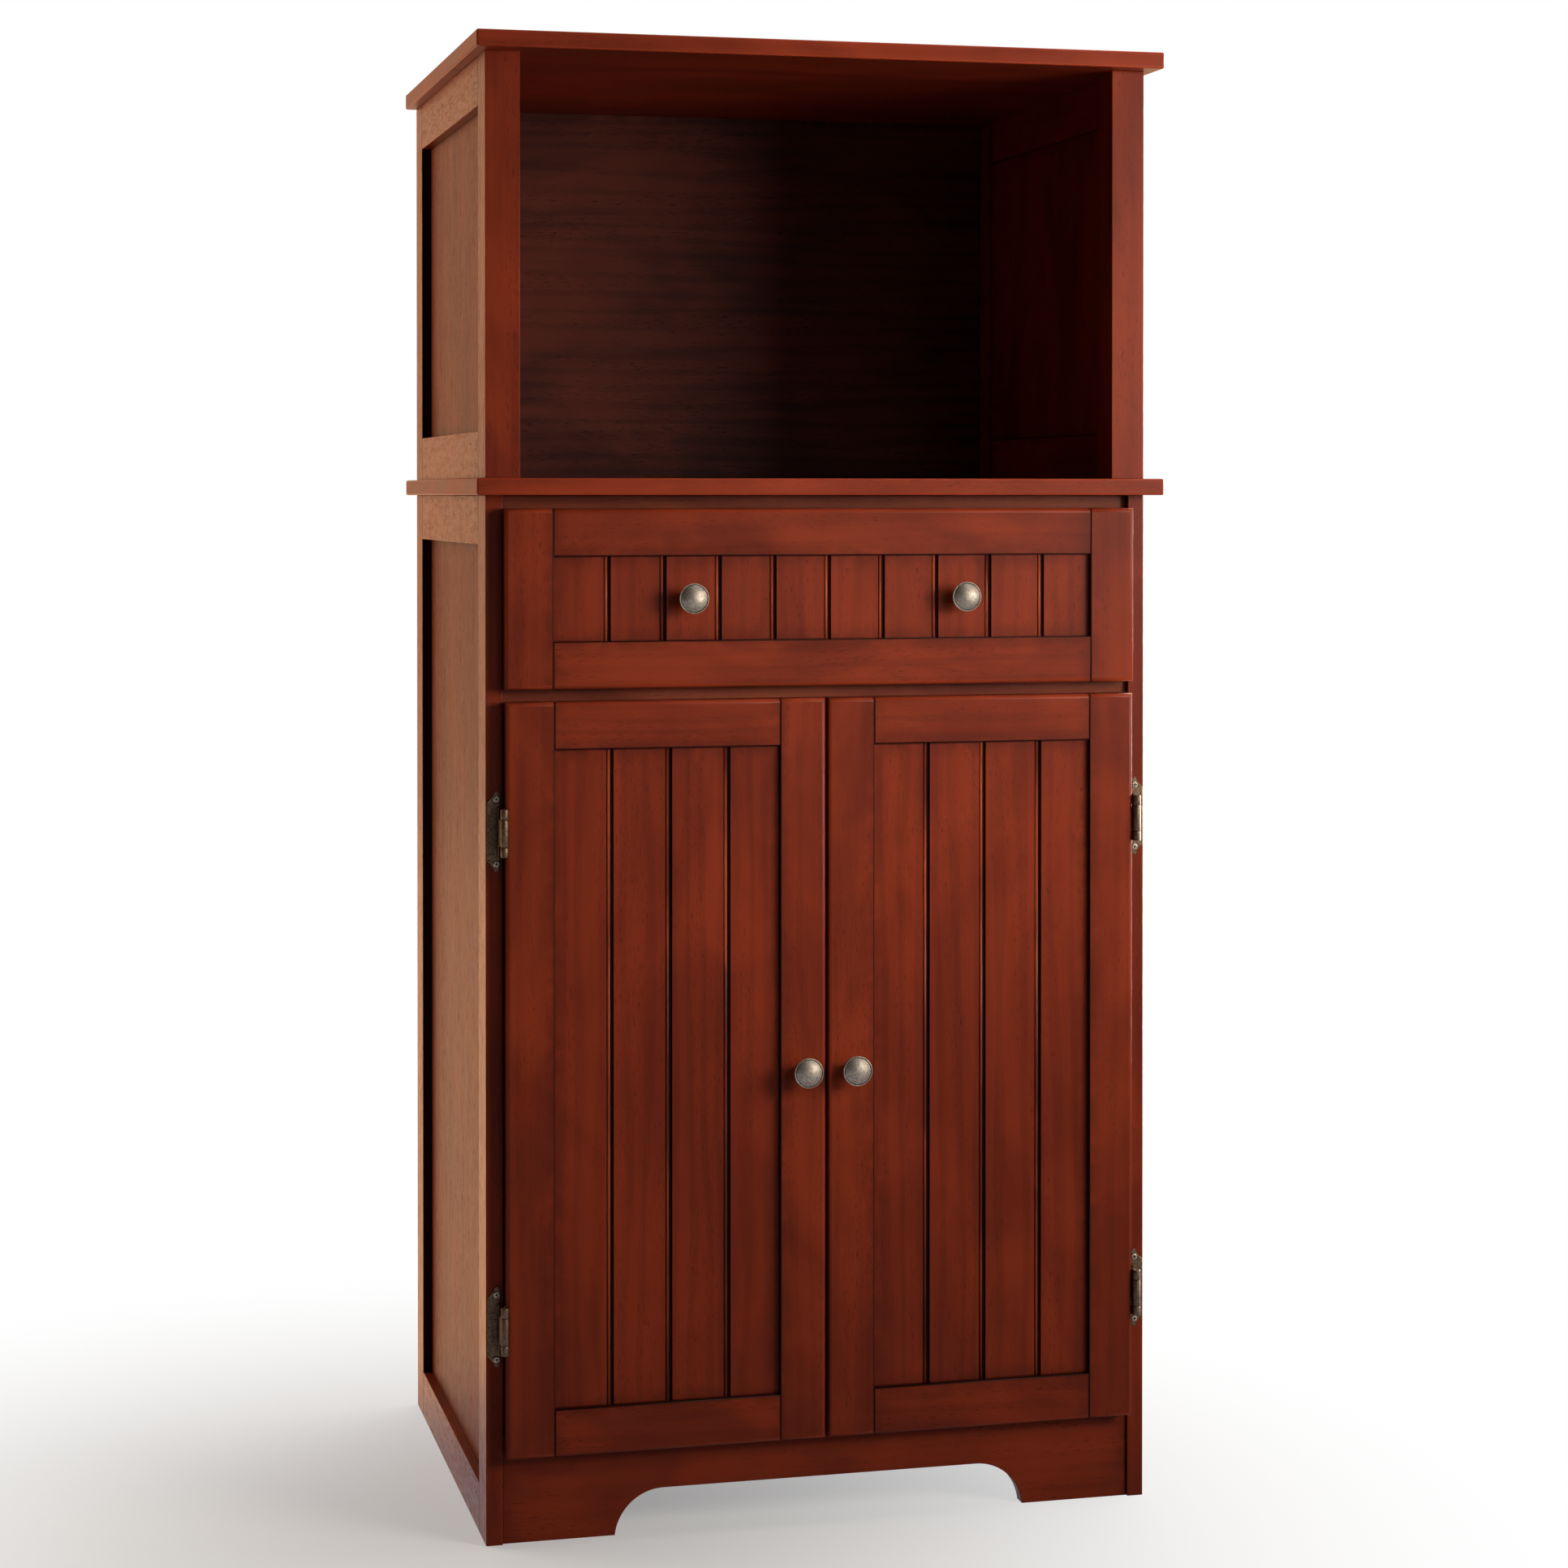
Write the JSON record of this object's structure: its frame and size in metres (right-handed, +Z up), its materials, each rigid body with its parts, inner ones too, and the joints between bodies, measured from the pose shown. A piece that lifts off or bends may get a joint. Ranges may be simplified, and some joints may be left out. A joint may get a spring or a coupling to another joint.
{
  "type": "microwave cart",
  "caption": "Tall wooden kitchen cart: cabinet with beadboard doors and a beadboard drawer, under an open hutch for a countertop oven.",
  "frame": {"origin": "on the floor, below the middle of the overall box", "axes": "+Z up, +X to the right seen from the front, -Y towards the front with the doors"},
  "size_m": [0.635, 0.503, 1.333],
  "materials": {
    "stained_wood": "satin lacquer over a red-brown stain, with fine dark pores",
    "back_panels": "thin red-brown panel, matt",
    "inner_wood": "plain stained board, matt",
    "knobs": "antique pewter and brown patina",
    "hinges": "antique brass",
    "hinge_screws": "antique brass",
    "steel": "bright zinc",
    "catch": "dark brown moulding"
  },
  "bodies": {
    "root": {"apron": "stained_wood", "base_back_panel": "back_panels", "base_left_front_stile": "stained_wood", "base_left_panel": "stained_wood", "base_left_rails": "stained_wood", "base_left_rear_stile": "stained_wood", "base_right_front_stile": "stained_wood", "base_right_panel": "stained_wood", "base_right_rails": "stained_wood", "base_right_rear_stile": "stained_wood", "cabinet_floor": "inner_wood", "door_catch": "catch", "drawer_runners": "inner_wood", "frame_leaf_screws": "hinge_screws", "hinge_pins": "hinges", "hutch_back_panel": "back_panels", "hutch_left_front_stile": "stained_wood", "hutch_left_panel": "stained_wood", "hutch_left_rails": "stained_wood", "hutch_left_rear_stile": "stained_wood", "hutch_right_front_stile": "stained_wood", "hutch_right_panel": "stained_wood", "hutch_right_rails": "stained_wood", "hutch_right_rear_stile": "stained_wood", "left_hinge_frame_leaves": "hinges", "mid_rail": "stained_wood", "right_hinge_frame_leaves": "hinges", "shelf": "inner_wood", "shelf_cleats": "inner_wood", "top_board": "stained_wood", "top_rail": "stained_wood", "worktop": "stained_wood"},
    "drawer": {"drawer_bottom": "inner_wood", "drawer_box_back": "inner_wood", "drawer_box_front": "inner_wood", "drawer_box_sides": "inner_wood", "drawer_front_left_stile": "stained_wood", "drawer_front_panel": "stained_wood", "drawer_front_rails": "stained_wood", "drawer_front_right_stile": "stained_wood", "drawer_knob_screws": "steel", "drawer_knobs": "knobs"},
    "left_door": {"left_door_hinge_leaves": "hinges", "left_door_hinge_stile": "stained_wood", "left_door_knob": "knobs", "left_door_knob_screw": "steel", "left_door_leaf_screws": "hinge_screws", "left_door_meeting_stile": "stained_wood", "left_door_panel": "stained_wood", "left_door_rails": "stained_wood", "left_door_strike_plate": "steel"},
    "right_door": {"right_door_hinge_leaves": "hinges", "right_door_hinge_stile": "stained_wood", "right_door_knob": "knobs", "right_door_knob_screw": "steel", "right_door_leaf_screws": "hinge_screws", "right_door_meeting_stile": "stained_wood", "right_door_panel": "stained_wood", "right_door_rails": "stained_wood", "right_door_strike_plate": "steel"}
  },
  "joints": [
    {"name": "drawer_slide", "type": "slide", "parent": "root", "child": "drawer", "axis": [0, -1, 0], "range_m": [0, 0.3]},
    {"name": "left_door_hinge", "type": "hinge", "parent": "root", "child": "left_door", "pos_m": [-0.2929, -0.2279, 0.412], "axis": [0, 0, -1], "range_deg": [0, 180]},
    {"name": "right_door_hinge", "type": "hinge", "parent": "root", "child": "right_door", "pos_m": [0.2929, -0.2279, 0.412], "axis": [0, 0, 1], "range_deg": [0, 180]}
  ]
}
